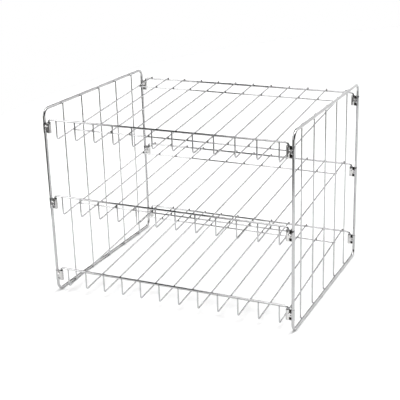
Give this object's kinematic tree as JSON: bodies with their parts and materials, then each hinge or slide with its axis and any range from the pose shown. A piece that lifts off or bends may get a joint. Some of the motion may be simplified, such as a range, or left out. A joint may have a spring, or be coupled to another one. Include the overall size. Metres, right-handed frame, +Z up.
{
  "type": "cooling rack",
  "caption": "Free-standing wire cooling rack with open end panels and slatted, front-lipped shelves that lift out of clips on the posts.",
  "frame": {"origin": "on the resting surface, under the middle of the rack's width and depth", "axes": "+X along the width towards the right end panel, +Y from the front lip to the back, +Z up"},
  "size_m": [0.4016, 0.3156, 0.3],
  "materials": {
    "chrome_wire": "polished",
    "clip_sheet": "polished, slightly heat-tinted at the weld"
  },
  "bodies": {
    "end_panels": {"left_end_frame": "chrome_wire", "right_end_frame": "chrome_wire", "left_upright_1": "chrome_wire", "left_upright_2": "chrome_wire", "left_upright_3": "chrome_wire", "left_upright_4": "chrome_wire", "left_upright_5": "chrome_wire", "right_upright_1": "chrome_wire", "right_upright_2": "chrome_wire", "right_upright_3": "chrome_wire", "right_upright_4": "chrome_wire", "right_upright_5": "chrome_wire", "left_front_bottom_clip": "clip_sheet", "left_front_middle_clip": "clip_sheet", "left_front_top_clip": "clip_sheet", "left_back_bottom_clip": "clip_sheet", "left_back_middle_clip": "clip_sheet", "left_back_top_clip": "clip_sheet", "right_front_bottom_clip": "clip_sheet", "right_front_middle_clip": "clip_sheet", "right_front_top_clip": "clip_sheet", "right_back_bottom_clip": "clip_sheet", "right_back_middle_clip": "clip_sheet", "right_back_top_clip": "clip_sheet"},
    "bottom_shelf": {"bottom_front_rim": "chrome_wire", "bottom_back_rim": "chrome_wire", "bottom_front_cross_wire": "chrome_wire", "bottom_back_cross_wire": "chrome_wire", "bottom_slats": "chrome_wire"},
    "middle_shelf": {"middle_front_rim": "chrome_wire", "middle_back_rim": "chrome_wire", "middle_front_cross_wire": "chrome_wire", "middle_back_cross_wire": "chrome_wire", "middle_slats": "chrome_wire"},
    "top_shelf": {"top_front_rim": "chrome_wire", "top_back_rim": "chrome_wire", "top_front_cross_wire": "chrome_wire", "top_back_cross_wire": "chrome_wire", "top_slats": "chrome_wire"}
  },
  "joints": [
    {"name": "bottom_shelf_lift", "type": "slide", "parent": "end_panels", "child": "bottom_shelf", "axis": [0, 0, 1], "range_m": [0, 0.02]},
    {"name": "middle_shelf_lift", "type": "slide", "parent": "end_panels", "child": "middle_shelf", "axis": [0, 0, 1], "range_m": [0, 0.02]},
    {"name": "top_shelf_lift", "type": "slide", "parent": "end_panels", "child": "top_shelf", "axis": [0, 0, 1], "range_m": [0, 0.02]}
  ]
}
